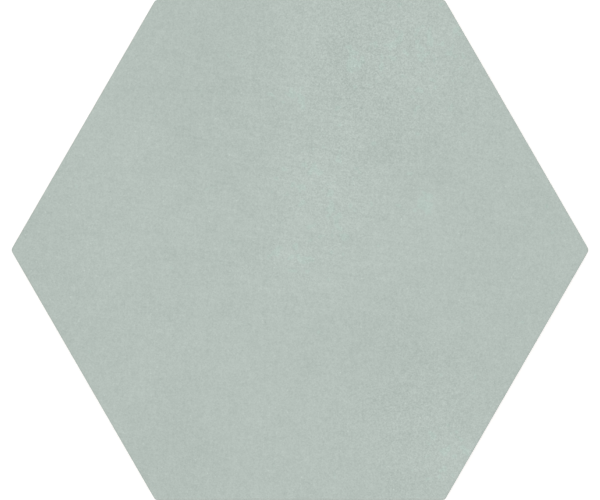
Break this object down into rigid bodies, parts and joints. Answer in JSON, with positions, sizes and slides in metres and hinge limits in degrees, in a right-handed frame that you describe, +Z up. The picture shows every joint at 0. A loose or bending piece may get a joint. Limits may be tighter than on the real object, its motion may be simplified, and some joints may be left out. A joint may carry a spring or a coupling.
{
  "type": "hexagonal floor tile",
  "caption": "Flat hexagonal porcelain floor tile with a matt pale sage-grey cement-look glaze, softened arris, drawn-in lower wall and a honeycomb-keyed back for adhesive.",
  "frame": {"origin": "middle of the bedding plane, on which the rim and the ribs of the back stand", "axes": "+Z up through the glazed face, X through two opposite corners, Y square to two opposite sides"},
  "size_m": [0.2304, 0.2, 0.009],
  "materials": {
    "matt_glaze": "matte"
  },
  "bodies": {
    "root": {"floor_tile": "matt_glaze"}
  },
  "joints": []
}
